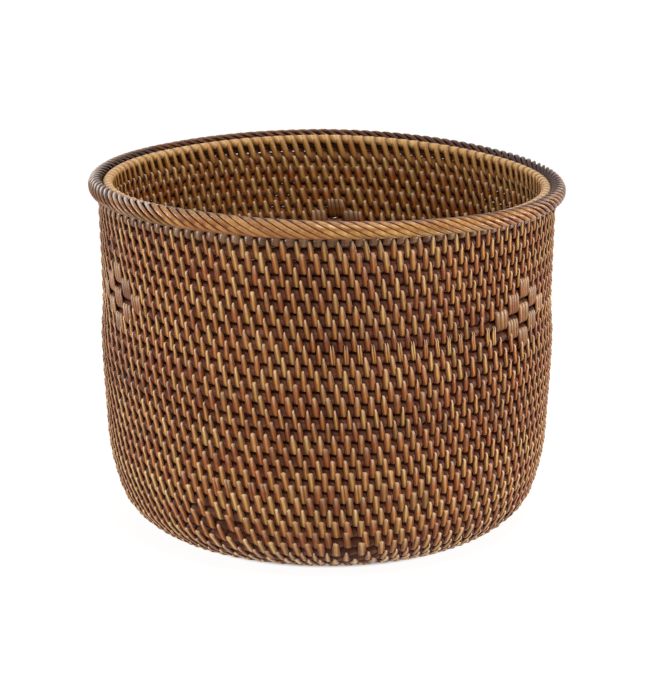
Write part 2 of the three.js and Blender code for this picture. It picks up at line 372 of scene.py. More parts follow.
def outward(distance):
    """The unit direction out of the wall, in section."""
    r0, z0 = on_line(distance - NEARBY)
    r1, z1 = on_line(distance + NEARBY)
    length = np.hypot(r1 - r0, z1 - z0)
    return -(z1 - z0) / length, (r1 - r0) / length


def row_width(turn):
    """The first turn of the cane is cut to a long wedge, so that the top edge is level."""
    return np.clip(ROW_PITCH * turn - ROW_GAP, TIP_WIDTH, CANE_WIDTH)


def row_distance(turn):
    full = CANE_WIDTH / 2 + ROW_PITCH * (turn - 1)
    return np.where(turn >= 1, full, row_width(turn) / 2)


def azimuth_of(turn):
    return np.radians(COIL_END_AZIMUTH - 360 * turn)


def around(radius, azimuth, height):
    """Azimuth 0 is the front, and it grows towards the right of the photograph."""
    return np.stack([radius * np.sin(azimuth), -radius * np.cos(azimuth), height], -1)


# %% Where a hand-laid row strays
LIFT_DISTANCES = [3, 14, 130, 185]
LIFT_SHARES = [0, 1, 1, 0]
LIFT_MEAN = 0.35
LIFT_SWING = 1.25
LOWEST_AZIMUTH = 0.26


def lift(distance, azimuth):
    """How far a row lies above the even spiral: low in front and high behind."""
    share = np.interp(distance, LIFT_DISTANCES, LIFT_SHARES)
    return share * (LIFT_MEAN - LIFT_SWING * np.cos(azimuth - LOWEST_AZIMUTH))


# %% Splices of the canes
WALL_CANES = 5
START_TURNS = 1.5
BASE_START_TURN = 1 + (COIL_LENGTH - BASE_START_RADIUS - CANE_WIDTH / 2) / ROW_PITCH
TIP_TURN = (TIP_WIDTH + ROW_GAP) / ROW_PITCH
foot_at = line_distance[np.argmax(line[:, 1] <= CORNER_HEIGHT)]
FOOT_TURN = 1 + (foot_at - CANE_WIDTH / 2) / ROW_PITCH
floor_at = line_distance[WALL_STEPS + CORNER_STEPS - 1]
FLOOR_TURN = 1 + (floor_at - CANE_WIDTH / 2) / ROW_PITCH
splices = list(np.linspace(TIP_TURN, FOOT_TURN, WALL_CANES + 1))
splices += [FLOOR_TURN, BASE_START_TURN, BASE_START_TURN + START_TURNS]
print("coil of", round(BASE_START_TURN, 2), "turns")
print("splices at turns", [round(float(t), 2) for t in splices])

# %% [markdown]
# ## Where the stitches go
#
# A basket maker passes the strip round the new cane and through the middle of the cane above,
# half way between two stitches of the row above. So the rows lie like bricks. The place of each
# stitch is found in the same way here: half way between two stitches above it, with a small
# drift. Where the basket narrows, the stitches crowd, and when a whole stitch too many has built
# up, one is left out, as on the real basket. A plain grid would be shorter to write, but its
# rows would line up as on no basket.

# %% Stitches along the coil
# Height on the wall, and the pitch of the stitches there
STITCH_PITCHES = [(60.0, 7.37), (132.0, 7.28), (189.2, 7.16)]
STITCH_DRIFT = 0.055
LEAST_STEP = 0.62
LEAST_RADIUS = 6.0
BARE_END = 0.1
# Up to this turn the stitches of the rim hold the rows
FIRST_BOUND_TURN = 1.62


def stitch_turns(first, last):
    turns = [first]
    crowding = 0.0
    skipped = 0

    def under_pair(right):
        gap = turns[right] - turns[right - 1]
        return turns[right - 1] + gap * (0.5 + STITCH_DRIFT) + 1

    while turns[-1] < last:
        turn = turns[-1]
        radius, height = on_line(row_distance(turn))
        radius = max(float(radius) + COIL_DEPTH / 2, LEAST_RADIUS)
        pitch = float(np.interp(height, *zip(*STITCH_PITCHES)))
        step = pitch / (2 * math.pi * radius)
        if turn + step - 1 <= first:
            turns.append(turn + step)
            continue
        right = max(1, bisect.bisect_right(turns, turn - 1))
        while under_pair(right) < turn + LEAST_STEP * step:
            right += 1
        place = under_pair(right)
        if crowding + 1 - (place - turn) / step > 1.0:
            place = (place + under_pair(right + 1)) / 2
            skipped += 1
        crowding += 1 - (place - turn) / step
        turns.append(place)
    return np.array(turns[:-1]), skipped


stitches, skipped = stitch_turns(1.0, BASE_START_TURN + START_TURNS - BARE_END)
print("stitches outside", len(stitches), "left out", skipped)

# %% [markdown]
# ## Where the diamonds go
#
# Each diamond has five rows of one, two, three, two and one wide blocks. A block takes the place
# of a few narrow stitches of its row, so the stitches there are left out.

# %% Blocks of the three diamonds
MOTIF_ROWS = [1, 2, 3, 2, 1]
MOTIF_AZIMUTHS = [-63.9, 57.5, 177.5]
MOTIF_DEPTHS = [51.55, 56.15, 53.85]
MOTIF_PITCH = 20.0
MOTIF_WIDTH = 9.2
MOTIF_CLEARANCE = 1.9

motif_blocks = []
for motif, (azimuth, depth) in enumerate(zip(MOTIF_AZIMUTHS, MOTIF_DEPTHS)):
    down_wall = np.interp(depth - COIL_TOP, -line[:WALL_STEPS, 1], line_distance[:WALL_STEPS])
    near = 1 + (down_wall - CANE_WIDTH / 2) / ROW_PITCH
    phase = (COIL_END_AZIMUTH - azimuth) / 360
    middle = phase + round(near - phase)
    for row, blocks in enumerate(MOTIF_ROWS):
        row_turn = middle + row - len(MOTIF_ROWS) // 2
        radius = float(on_line(row_distance(row_turn))[0])
        for block in range(blocks):
            shift = (block - (blocks - 1) / 2) * MOTIF_PITCH
            turn = row_turn - shift / (2 * math.pi * radius)
            motif_blocks.append((motif + 1, row + 1, block + 1, turn, radius))

in_motif = np.zeros(len(stitches), bool)
for motif, row, block, turn, radius in motif_blocks:
    rows = [t for m, r, b, t, _ in motif_blocks if m == motif and r == row]
    edge = (MOTIF_WIDTH / 2 + MOTIF_CLEARANCE) / (2 * math.pi * radius)
    in_motif |= (stitches > min(rows) - edge) & (stitches < max(rows) + edge)
print("wide wraps", len(motif_blocks), "narrow stitches left out for them", int(in_motif.sum()))

# %% [markdown]
# ## The canes
#
# Each cane is drawn as a curve along its part of the coil, with a round bevel. The curve's radius
# changes from point to point: the strip pulls the cane in at every stitch, and the cane swells
# between two stitches. A curve with a bevel is quick to shape in this way, and it is turned into
# a mesh at the end.
#
# The canes are painted darker where two rows meet and beside the stitches, as painted shade
# for these grooves, so the mesh remembers how deep in such a groove each of its corners lies,
# and the finish reads it.

# %% Bend a cane
BEVEL_STEPS = 3


def select_only(piece):
    bpy.ops.object.select_all(action="DESELECT")
    piece.select_set(True)
    bpy.context.view_layer.objects.active = piece


def store(mesh, name, values, kind="FLOAT"):
    layer = mesh.attributes.new(name, kind, "POINT")
    field = "value" if kind == "FLOAT" else "vector"
    layer.data.foreach_set(field, np.ascontiguousarray(values, np.float32).ravel())


def bend_cane(name, points, radii, closed=False):
    """A round rod through points, in millimetres, as thick as radii say at each point."""
    curve = bpy.data.curves.new(name, "CURVE")
    curve.dimensions = "3D"
    curve.twist_mode = "Z_UP"
    curve.bevel_depth = MM
    curve.bevel_resolution = BEVEL_STEPS
    curve.use_fill_caps = not closed
    spline = curve.splines.new("POLY")
    spline.points.add(len(points) - 1)
    spline.use_cyclic_u = closed
    flat = np.concatenate([points * MM, np.ones((len(points), 1))], 1)
    spline.points.foreach_set("co", flat.ravel())
    spline.points.foreach_set("radius", radii)
    piece = bpy.data.objects.new(name, curve)
    bpy.context.scene.collection.objects.link(piece)
    select_only(piece)
    bpy.ops.object.convert(target="MESH")
    piece = bpy.context.object
    mesh = piece.data
    sides = len(mesh.vertices) // len(points)
    on_rod = np.tile(np.arange(sides) * 2 * math.pi / sides, len(points))
    spot = np.zeros((len(mesh.vertices), 3))
    spot[: len(on_rod), 0] = np.repeat(length_along(points), sides)
    spot[: len(on_rod), 1] = CANE_WIDTH / 2 * np.cos(on_rod)
    spot[: len(on_rod), 2] = CANE_WIDTH / 2 * np.sin(on_rod)
    store(mesh, "grain", spot, "FLOAT_VECTOR")
    bpy.ops.object.shade_smooth()
    return piece


# %% Remember the grooves
# How far the painted shade of the grooves reaches: less on the inner faces, more beside a stitch
# outside.
INSIDE_RELIEF = 0.2
BARE_GROOVE = 0.5
STITCH_GROOVE = 0.34


def mark_groove_shade(piece, points, next_row, out_of_wall, pinch):
    """For painted shade, keep how deep in a groove each corner lies: towards the next row, or beside a
    stitch.
    """
    mesh = piece.data
    sides = len(mesh.vertices) // len(points)
    on_rod = sides * len(points)
    corners = np.array([vertex.co[:] for vertex in mesh.vertices[:on_rod]]) / MM
    spoke = corners.reshape(len(points), sides, 3) - points[:, None]
    spoke /= np.linalg.norm(spoke, axis=2)[:, :, None]
    facing_out = (spoke * out_of_wall[:, None]).sum(2) * 2
    outside, inside = np.clip(facing_out, 0, 1), np.clip(-facing_out, 0, 1)
    near_row = np.abs((spoke * next_row[:, None]).sum(2)) * (1 - INSIDE_RELIEF * inside)
    near_stitch = BARE_GROOVE + STITCH_GROOVE * pinch[:, None] * outside
    for name, values, at_caps in (
        ("groove", np.maximum(near_row, near_stitch), 1.0), ("inside", inside, 0.0),
    ):
        kept = np.full(len(mesh.vertices), at_caps)
        kept[:on_rod] = values.ravel()
        store(mesh, name, kept)


# %% Shape every cane of the coil
CANE_RADIUS = 3.4
KNOB = 0.54
POINTS_PER_STITCH = 6
TIP_POINTS = 240
SPLICE_GAP = 0.0006
# From no painted shade beside a stitch to the most, as the stitch pinches the cane.
NO_PINCH = 0.35
FULL_PINCH = -0.45
HEIGHT_WAVES = [(0.09, 151.3, 0.0)]
RADIUS_WAVES = [(0.07, 61.7, 0.0), (0.05, 143.3, 1.0)]
WAVES_FROM = 15.0
WAVES_FULLY = 45.0


def cane_swell(turn):
    """From -1 under a stitch to 1 half way between two stitches."""
    after = np.clip(np.searchsorted(stitches, turn), 1, len(stitches) - 1)
    share = (turn - stitches[after - 1]) / (stitches[after] - stitches[after - 1])
    swell = -np.cos(2 * math.pi * np.clip(share, 0, 1))
    return np.where(turn < stitches[0], 0, swell)


def waves(turn, sizes):
    """The small waves of a cane bent by hand, each given as its size, its pace and its start."""
    return sum(size * np.sin(turn * pace + start) for size, pace, start in sizes)


cane_names = [f"wall_cane_{i + 1}" for i in range(WALL_CANES)]
cane_names += ["foot_cane", "base_cane", "base_start"]
canes = []
for name, start, end in zip(cane_names, splices, splices[1:]):
    held_at = stitches[(stitches > start) & (stitches < end)]
    knots = np.concatenate([[start], held_at, [end - SPLICE_GAP]])
    steps = np.arange((len(knots) - 1) * POINTS_PER_STITCH + 1) / POINTS_PER_STITCH
    turn = np.interp(steps, np.arange(len(knots)), knots)
    if start < 1:
        tip = np.linspace(start, 1.0, TIP_POINTS, endpoint=False)
        turn = np.concatenate([tip, turn[turn >= 1.0]])
    azimuth = azimuth_of(turn)
    distance = row_distance(turn)
    radius, height = on_line(distance)
    height = height + lift(distance, azimuth)
    height = height + waves(turn, HEIGHT_WAVES) * rise(height, WAVES_FROM, WAVES_FULLY)
    points = around(radius + waves(turn, RADIUS_WAVES), azimuth, height)
    out_r, out_z = outward(distance)
    swell = cane_swell(turn)
    radii = (CANE_RADIUS + KNOB * swell) * row_width(turn) / CANE_WIDTH
    piece = bend_cane(name + "_round", points, radii)
    next_row = around(-out_z, azimuth, out_r)
    out_of_wall = around(out_r, azimuth, out_z)
    mark_groove_shade(piece, points, next_row, out_of_wall, rise(swell, NO_PINCH, FULL_PINCH))
    canes.append(piece)
    print(piece.name, len(turn), "points", len(piece.data.polygons), "faces")

# %% [markdown]
# ## One strip of split rattan
#
# A binding strip is flat below and a little domed above. One strip is modelled from a cylinder
# with six sides: it is cut into rings, drawn out flat, and made thinner and narrower towards its
# ends. Thousands of copies follow, so the strip has only a few dozen faces.

# %% Model the strip
RINGS = 9
SIDES = 6
DOMED = 1.0
FLAT = 0.3
SPREAD = 1.6
STITCH_WIDTHS = [0.70, 0.86, 0.96, 1.0, 1.0, 1.0, 1.0, 1.0, 0.97]
STITCH_HEIGHTS = [0.6, 0.9, 1.0, 1.0, 1.0, 1.0, 1.0, 1.0, 0.8]
WRAP_WIDTHS = [0.94, 0.98, 1.0, 1.0, 1.0, 1.0, 1.0, 0.96, 0.84]
WRAP_HEIGHTS = [0.8, 1.0, 1.0, 1.0, 1.0, 1.0, 1.0, 1.0, 0.8]


def model_strip(name, widths, heights):
    bpy.ops.object.select_all(action="DESELECT")
    bpy.ops.mesh.primitive_cylinder_add(
        vertices=SIDES, radius=1, depth=1, end_fill_type="NGON", rotation=(math.pi / 2, 0, 0)
    )
    strip = bpy.context.object
    strip.name = name
    bpy.ops.object.transform_apply(location=False, rotation=True, scale=False)
    bpy.ops.object.mode_set(mode="EDIT")
    for ring in range(1, RINGS - 1):
        bpy.ops.mesh.select_all(action="SELECT")
        bpy.ops.mesh.bisect(plane_co=(0, ring / (RINGS - 1) - 0.5, 0), plane_no=(0, 1, 0))
    body = bmesh.from_edit_mesh(strip.data)
    for ring, (wide, high) in enumerate(zip(widths, heights)):
        place = ring / (RINGS - 1) - 0.5
        for side in (1, -1):
            for vertex in body.verts:
                vertex.select = abs(vertex.co.y - place) < 0.01 and vertex.co.z * side > 0.1
            body.select_flush_mode()
            deep = (DOMED if side > 0 else FLAT) * high / math.sin(2 * math.pi / SIDES)
            bpy.ops.transform.resize(value=(SPREAD, 1, deep), center_override=(0, place, 0))
        for vertex in body.verts:
            vertex.select = abs(vertex.co.y - place) < 0.01
        bpy.ops.transform.resize(value=(wide, 1, 1), center_override=(0, place, 0))
    bpy.ops.object.mode_set(mode="OBJECT")
    return strip


def pattern_of(strip):
    """The strip as numbers: ring, across and height of each corner, and its faces."""
    mesh = strip.data
    co = np.zeros(len(mesh.vertices) * 3)
    mesh.vertices.foreach_get("co", co)
    co = co.reshape(-1, 3)
    ring = np.rint((co[:, 1] + 0.5) * (RINGS - 1)).astype(int)
    faces = [tuple(face.vertices) for face in mesh.polygons]
    bpy.data.objects.remove(strip)
    return ring, co[:, 0], co[:, 2], faces


stitch_pattern = pattern_of(model_strip("stitch", STITCH_WIDTHS, STITCH_HEIGHTS))
wrap_pattern = pattern_of(model_strip("wrap", WRAP_WIDTHS, WRAP_HEIGHTS))
print("a strip has", len(stitch_pattern[0]), "corners and", len(stitch_pattern[3]), "faces")

# %% [markdown]
# ## Laying strips
#
# Each copy is bent along its own path, seen in section: it leaves its hole in the cane above,
# bridges the gap, lies over the cane that it binds and dives in below it. It comes out of the
# hole on edge, so its top end is narrow, and it lies flat lower down.
#
# An Array modifier with a curve could carry the copies, but all would be alike. Here numbers
# move the corners of each copy, and each has its own lean, width and tone, since no two strips
# of a basket have the same colour.

# %% Lay many strips as one piece
STRIP_THICKNESS = 0.5
TAPER = np.array([0.85, 0.76, 0.56, 0.22, 0.04, 0, 0, 0, 0])
OFF_CENTRE = 0.3
GRAIN_RANGE = 900
# Painted shade: how dark each strip's two edges are, and its lower end, where it dives under the cane.
EDGE_SHADE = 0.42
END_SHADE = 0.6
# How much painted highlight the top end of a blunt strip gets.
BLUNT_TIP = 0.35
SHOULDER = 0.95


def sharpen_shoulders(mesh, across, up):
    """Keep the two long edges of each strip's upper face crisp when the strip is shaded."""
    ends = np.zeros(len(mesh.edges) * 2, np.int32)
    mesh.edges.foreach_get("vertices", ends)
    ends = ends.reshape(-1, 2) % len(across)
    on_shoulder = (np.abs(across) < SHOULDER) & (up > 0)
    lengthwise = across[ends[:, 0]] * across[ends[:, 1]] > 0
    sharp = on_shoulder[ends].all(1) & lengthwise
    mesh.attributes.new("sharp_edge", "BOOLEAN", "EDGE").data.foreach_set("value", sharp)


def copy_strips(name, points, faces):
    """One mesh with a strip for each row of points, in metres."""
    count, corners = points.shape[:2]
    loops = np.concatenate([np.array(face) for face in faces])
    sizes = np.array([len(face) for face in faces])
    starts = np.concatenate([[0], np.cumsum(sizes)[:-1]])
    offset = np.arange(count)[:, None]
    mesh = bpy.data.meshes.new(name)
    mesh.vertices.add(count * corners)
    mesh.vertices.foreach_set("co", points.ravel())
    mesh.loops.add(count * len(loops))
    mesh.loops.foreach_set("vertex_index", (loops + offset * corners).ravel().astype(np.int32))
    mesh.polygons.add(count * len(faces))
    mesh.polygons.foreach_set("loop_start", (starts + offset * len(loops)).ravel().astype(np.int32))
    mesh.update(calc_edges=True)
    mesh.validate()
    return mesh


def lay_strips(name, pattern, azimuth, radius, height, side, width, shift, tone, point, edge_shading=1.0):
    """Copies of a strip, each along a path of RINGS points. side is 1 where the strip's face
    looks to the left of its way down, in section, which is out of the wall. point says how
    sharply the top end narrows and how bright its painted highlight is, and edge_shading how
    dark the painted shade on the two edges is."""
    ring, across, up, faces = pattern
    count, corners = len(azimuth), len(ring)
    step_r = np.gradient(radius, axis=1)
    step_z = np.gradient(height, axis=1)
    length = np.hypot(step_r, step_z)
    face_r, face_z = -side * step_z / length, side * step_r / length
    raised = up * STRIP_THICKNESS
    corner_r = radius[:, ring] + face_r[:, ring] * raised
    corner_z = height[:, ring] + face_z[:, ring] * raised
    narrowed = 1 - point[:, None] * TAPER[ring]
    off_centre = side * OFF_CENTRE * point[:, None] * TAPER[ring]
    sideways = (across * narrowed + off_centre) * width[:, None] / 2 + shift[:, ring]
    corner_a = azimuth[:, None] + sideways / np.maximum(corner_r, 1.0)
    points = around(corner_r, corner_a, corner_z) * MM
    mesh = copy_strips(name, points, [face[::-1] for face in faces] if side > 0 else faces)
    sharpen_shoulders(mesh, across, up)
    run = np.concatenate([np.zeros((count, 1)), np.cumsum(length[:, 1:], axis=1)], axis=1)
    own_grain = np.repeat(chance.uniform(0, GRAIN_RANGE, (count, 1)), corners, axis=1)
    spot = np.stack([run[:, ring], across * width[:, None] / 2, own_grain], -1)
    store(mesh, "grain", spot, "FLOAT_VECTOR")
    store(mesh, "tone", np.repeat(tone, corners))
    # Painted shade on the two edges and the lower end of each strip.
    half = (RINGS - 1) // 2
    lower_end = rise(ring, half, 2 * half) ** 1.5 * END_SHADE
    store(mesh, "edge", np.tile(np.maximum(np.abs(across) ** 4 * EDGE_SHADE * edge_shading, lower_end), count))
    # Painted highlight: the top end of each strip is painted pale, more where its point is sharp.
    tip = rise(ring, half, 0) * (BLUNT_TIP + (1 - BLUNT_TIP) * point[:, None])
    store(mesh, "tip", tip.ravel())
    piece = bpy.data.objects.new(name, mesh)
    bpy.context.scene.collection.objects.link(piece)
    select_only(piece)
    bpy.ops.object.shade_smooth()
    return piece


# %% Paths of the stitches, as distance down from the cane above and depth in the wall
OUTER_PATH = [
    (-1.0, 3.2), (-0.65, 3.72), (0.5, 3.86), (2.3, 3.52), (4.2, 3.3),
    (6.2, 3.32), (7.8, 3.28), (9.0, 3.0), (9.5, 2.2),
]
INNER_PATH = [
    (-1.0, 3.05), (-0.65, 3.5), (0.5, 3.7), (2.2, 3.5), (4.0, 3.34),
    (5.9, 3.3), (7.3, 3.18), (8.5, 2.76), (9.2, 2.1),
]
MOTIF_PATH = [
    (-1.4, 2.9), (-0.9, 3.5), (0.6, 3.75), (2.6, 3.6), (4.6, 3.5),
    (6.6, 3.5), (8.0, 3.25), (9.0, 2.75), (9.7, 2.0),
]
PATH_MIDDLE = 4.2
OUTER_LEAN = math.tan(math.radians(8))
INNER_LEAN = math.tan(math.radians(15))


def bind_rows(name, pattern, path, turns, side, width, lean, sideways, tone, point, edge_shading=1.0):
    """Strips at these turns of the coil, on side 1 of the wall, the outside, or side -1."""
    down, depth = np.array(path).T
    own = row_distance(turns)[:, None]
    above = row_distance(turns - 1)[:, None]
    share = down / ROW_PITCH
    distance = np.where(share < 1, above + (own - above) * share, own + (down - ROW_PITCH))
    out_r, out_z = outward(distance)
    centre_r, centre_z = on_line(distance)
    radius = centre_r + side * out_r * depth
    height = centre_z + side * out_z * depth
    shift = sideways[:, None] + side * lean[:, None] * (down - PATH_MIDDLE)
    azimuth = azimuth_of(turns)
    height = height + lift(distance, azimuth[:, None])
    return lay_strips(name, pattern, azimuth, radius, height, side, width, shift, tone, point, edge_shading)


# %% [markdown]
# ## Binding the rows
#
# A strip lasts for some dozens of stitches, so its colour, width and sharpness run on for a
# while and then change. Low on the wall the strips are paler, wider and blunter. Inside, the
# strips cross between the outer stitches, and they are wider. Here and there a strip has split
# in two.

# %% Tone, width and sharpness of every stitch
OUTER_WIDTH = 2.5
INNER_WIDTH = 3.3
LOW_FROM = 15
LOW_FULLY = 21
LOW_PALER = 0.1
LOW_WIDER = 0.2
LOW_BLUNTER = 0.2
RIGHT_SHARPER = 0.15
SPLIT_RUN = 19
SPLIT_ABOVE = 0.94
SPLIT_BELOW_TURN = 5


def in_runs(count, low, high, stray, run=31):
    """One value for each stitch, which keeps near its neighbours for a run of stitches."""
    base = np.repeat(chance.uniform(low, high, count // run + 2), run)[:count]
    return base + chance.uniform(-stray, stray, count)


outer_turns = stitches[~in_motif & (stitches > FIRST_BOUND_TURN)]
inner_turns = (stitches[1:] + stitches[:-1]) / 2
inner_turns = inner_turns[~(in_motif[1:] & in_motif[:-1]) & (inner_turns > FIRST_BOUND_TURN)]
outer_tone = in_runs(len(outer_turns), 0.3, 0.75, 0.22)
# The inner strips are painted paler than the outer ones, as painted fill light inside the basket.
inner_tone = in_runs(len(inner_turns), 0.5, 0.95, 0.22)
outer_share = in_runs(len(outer_turns), 0.78, 1.12, 0.09)
inner_share = in_runs(len(inner_turns), 0.9, 1.15, 0.08)
outer_point = in_runs(len(outer_turns), 0.3, 0.9, 0.25)
# Sharper points on the right of the basket, which also brighten their painted tip highlight there.
outer_point += RIGHT_SHARPER * np.sin(azimuth_of(outer_turns))
low_rows = rise(outer_turns, LOW_FROM, LOW_FULLY)
outer_tone += LOW_PALER * low_rows
outer_share += LOW_WIDER * low_rows
outer_point = np.clip(outer_point - LOW_BLUNTER * low_rows, 0, 1)
inner_point = np.clip(in_runs(len(inner_turns), 0.4, 0.9, 0.2), 0, 1)
outer_split = in_runs(len(outer_turns), 0, 1, 0.01, SPLIT_RUN) > SPLIT_ABOVE
outer_split &= outer_turns > SPLIT_BELOW_TURN
print("split strips", int(outer_split.sum()))

# %% Bind every row, outside and inside
HALF_OFFSET = 0.29
HALF_WIDTH = 0.66
SWAY = 0.14
LEAN_STRAY = 0.03

outer_look = (outer_turns, outer_tone, outer_share, outer_point, outer_split)
inner_look = (inner_turns, inner_tone, inner_share, inner_point, np.zeros(len(inner_turns), bool))
bindings = []
for name, start, end in zip(cane_names, splices, splices[1:]):
    for label, side, look, path, wide, lean in (
        ("outside", 1, outer_look, OUTER_PATH, OUTER_WIDTH, OUTER_LEAN),
        ("inside", -1, inner_look, INNER_PATH, INNER_WIDTH, INNER_LEAN),
    ):
        here = (look[0] >= start) & (look[0] < end)
        turns, tone, share, point, split = [values[here] for values in look]
        copies = np.where(split, 2, 1)
        beside = np.concatenate([[-HALF_OFFSET, HALF_OFFSET] if pair else [0.0] for pair in split])
        width = np.repeat(wide * share, copies)
        sway = np.repeat(chance.normal(0, SWAY, len(turns)), copies) + beside * width
        own_lean = lean + np.repeat(chance.normal(0, LEAN_STRAY, len(turns)), copies)
        width = width * np.repeat(np.where(split, HALF_WIDTH, 1.0), copies)
        piece = bind_rows(
            f"{name}_binding_{label}", stitch_pattern, path, np.repeat(turns, copies), side,
            width, own_lean, sway, np.repeat(tone, copies), np.repeat(point, copies),
        )
        bindings.append(piece)
        print(piece.name, len(turns), "strips")

# %% [markdown]
# ## The wide wraps of the diamonds
#
# A block is three or four strips side by side, cut from one length of rattan, so they share one
# tone. They are laid as the stitches are, outside and inside, and joined into one piece.

# %% Wrap the blocks
WRAP_STRIPS = [4, 4, 3, 3]
WRAP_LEAN = 1.2 * OUTER_LEAN
WRAP_SWAY = 0.08
WRAP_POINT = 0.6
# WRAP_EDGE_SHADING sets the painted shade on the edges of the wraps.
WRAP_EDGE_SHADING = 0.75
BLOCK_TONE = 0.16
BLOCK_STRAY = 0.13
WRAP_STRAY = 0.07

motif_pieces = []
for motif, row, block, turn, radius in motif_blocks:
    strips = int(chance.choice(WRAP_STRIPS))
    width = MOTIF_WIDTH / strips
    places = (np.arange(strips) - (strips - 1) / 2) * width
    block_tone = chance.normal(BLOCK_TONE, BLOCK_STRAY)
    name = f"motif_{motif}_strips_{row}_{block}"
    parts = []
    for side in (1, -1):
        parts.append(bind_rows(
            f"{name}_{side}", wrap_pattern, MOTIF_PATH, np.full(strips, turn), side,
            width * chance.uniform(1.0, 1.12, strips), np.full(strips, WRAP_LEAN),
            places + chance.normal(0, WRAP_SWAY, strips),
            np.clip(chance.normal(block_tone, WRAP_STRAY, strips), 0, 1),
            chance.uniform(0, WRAP_POINT, strips), WRAP_EDGE_SHADING,
        ))
    select_only(parts[0])
    parts[1].select_set(True)
    bpy.ops.object.join()
    piece = bpy.context.object
    piece.name = name
    motif_pieces.append((piece, f"motif_{motif}_wrap_{row}_{block}"))
print("motif pieces", len(motif_pieces))

# %% [markdown]
# ## The rim
#
# An inner rail and a filler rod lie on the top row. Both are bent as the canes were. Outside the
# rail runs the border: seven half-round strands wound round a hoop, which is a torus drawn
# upright, since it is hardly seen.

# %% Rail, filler and hoop
BORDER_RADIUS = 127.35
BORDER_HEIGHT = 194.75
RAIL_RADIUS = 120.9
RAIL_HEIGHT = 195.0
RAIL_THICKNESS = 4.6
FILLER_RADIUS = 122.55
FILLER_HEIGHT = 191.0
FILLER_THICKNESS = 3.2
FILLER_STRETCH = 1.28
HOOP_THICKNESS = 2.6
HOOP_STRETCH = 2
ROD_POINTS = 240
ROD_SWAY = 0.05
ROD_SWELL = 0.02


def bend_rod(name, radius, height, thickness):
    azimuth = np.linspace(0, 2 * math.pi, ROD_POINTS, endpoint=False)
    sway = ROD_SWAY * np.sin(5 * azimuth)
    points = around(radius + sway, azimuth, np.full(ROD_POINTS, height))
    radii = thickness / 2 * (1 + ROD_SWELL * np.sin(9 * azimuth))
    return bend_cane(name, points, radii, closed=True)


rail = bend_rod("rim_rail_round", RAIL_RADIUS, RAIL_HEIGHT, RAIL_THICKNESS)
filler = bend_rod("rim_filler_round", FILLER_RADIUS, FILLER_HEIGHT, FILLER_THICKNESS)
bpy.ops.object.mode_set(mode="EDIT")
bpy.ops.mesh.select_all(action="SELECT")
bpy.ops.transform.resize(
    value=(1, 1, FILLER_STRETCH), center_override=(0, 0, FILLER_HEIGHT * MM)
)
bpy.ops.object.mode_set(mode="OBJECT")

bpy.ops.object.select_all(action="DESELECT")
bpy.ops.mesh.primitive_torus_add(
    major_radius=BORDER_RADIUS * MM, minor_radius=HOOP_THICKNESS / 2 * MM,
    major_segments=180, minor_segments=14,
)
hoop = bpy.context.object
hoop.name = "rim_hoop_round"
bpy.ops.object.mode_set(mode="EDIT")
bpy.ops.mesh.select_all(action="SELECT")
bpy.ops.transform.resize(value=(1, 1, HOOP_STRETCH), center_override=(0, 0, 0))
bpy.ops.transform.translate(value=(0, 0, BORDER_HEIGHT * MM))
bpy.ops.object.mode_set(mode="OBJECT")
bpy.ops.object.shade_smooth()
print("hoop", [round(v / MM, 2) for v in hoop.dimensions])

# %% [markdown]
# ## Wraps and stitches of the rail
#
# Short wraps cover the rail, and between them long stitches run over the rail and down the
# inside of the top row. Outside, under the border, the ends of these stitches show. All are laid
# with the same helper as the stitches of the wall, each along a path of nine points.

# %% Bind the rail
RIM_STRAY = 0.08
RIM_EDGE_SHADING = 0.5
RAIL_WRAP_WIDTH = 4.8
RAIL_WRAP_SLANT = 1.4
RAIL_WRAP_TONE = 0.74
RAIL_WRAP_ANGLES = (15, 265)
RAIL_STITCH_WIDTH = 2.5
RAIL_STITCH_TONE = 0.45
RAIL_STITCH_LEAN = 0.3
RAIL_STITCH_MIDDLE = 190.5
RAIL_STITCH_BEND = 192.8
OVER_RAIL = RAIL_THICKNESS / 2 + 0.15
OVER_RAIL_ANGLES = [35, 80, 125, 170]
DOWN_SHARES = [0.0, 0.3, 0.62, 0.86, 1.0]
DOWN_RADII = [118.3, 118.2, 118.15, 118.3, 119.4]
STITCH_END_LIFT = 2.0

first_row = stitches[(stitches >= 1) & (stitches < 2)]
stitch_azimuth = azimuth_of(first_row)
wrap_azimuth = azimuth_of((first_row[1:] + first_row[:-1]) / 2)


def bound_gap(azimuth):
    """Height of the gap below the row that the rim's stitches bind."""
    turn = np.mod((math.radians(COIL_END_AZIMUTH) - azimuth) / (2 * math.pi), 1.0)
    turn = np.where(turn + 1 < FIRST_BOUND_TURN, turn + 1, turn)
    below = row_distance(turn + 1) - ROW_PITCH / 2
    return on_line(below)[1] + lift(below, azimuth)


def rim_strips(name, azimuth, radius, height, side, width, shift, tone):
    """Strips at these azimuths. A path may be one for all of them, or one for each."""
    count = len(azimuth)

    def for_each(values):
        return np.broadcast_to(np.asarray(values, float), (count, RINGS)).copy()

    return lay_strips(
        name, wrap_pattern, azimuth, for_each(radius), for_each(height), side,
        width * chance.uniform(0.9, 1.1, count), for_each(shift),
        np.clip(chance.normal(tone, RIM_STRAY, count), 0, 1), np.zeros(count), RIM_EDGE_SHADING,
    )


on_rail = np.radians(np.linspace(*RAIL_WRAP_ANGLES, RINGS))
rail_wraps = rim_strips(
    "rim_rail_wraps", wrap_azimuth, RAIL_RADIUS + RAIL_THICKNESS / 2 * np.cos(on_rail),
    RAIL_HEIGHT + RAIL_THICKNESS / 2 * np.sin(on_rail), -1, RAIL_WRAP_WIDTH,
    np.linspace(RAIL_WRAP_SLANT, -RAIL_WRAP_SLANT, RINGS), RAIL_WRAP_TONE,
)

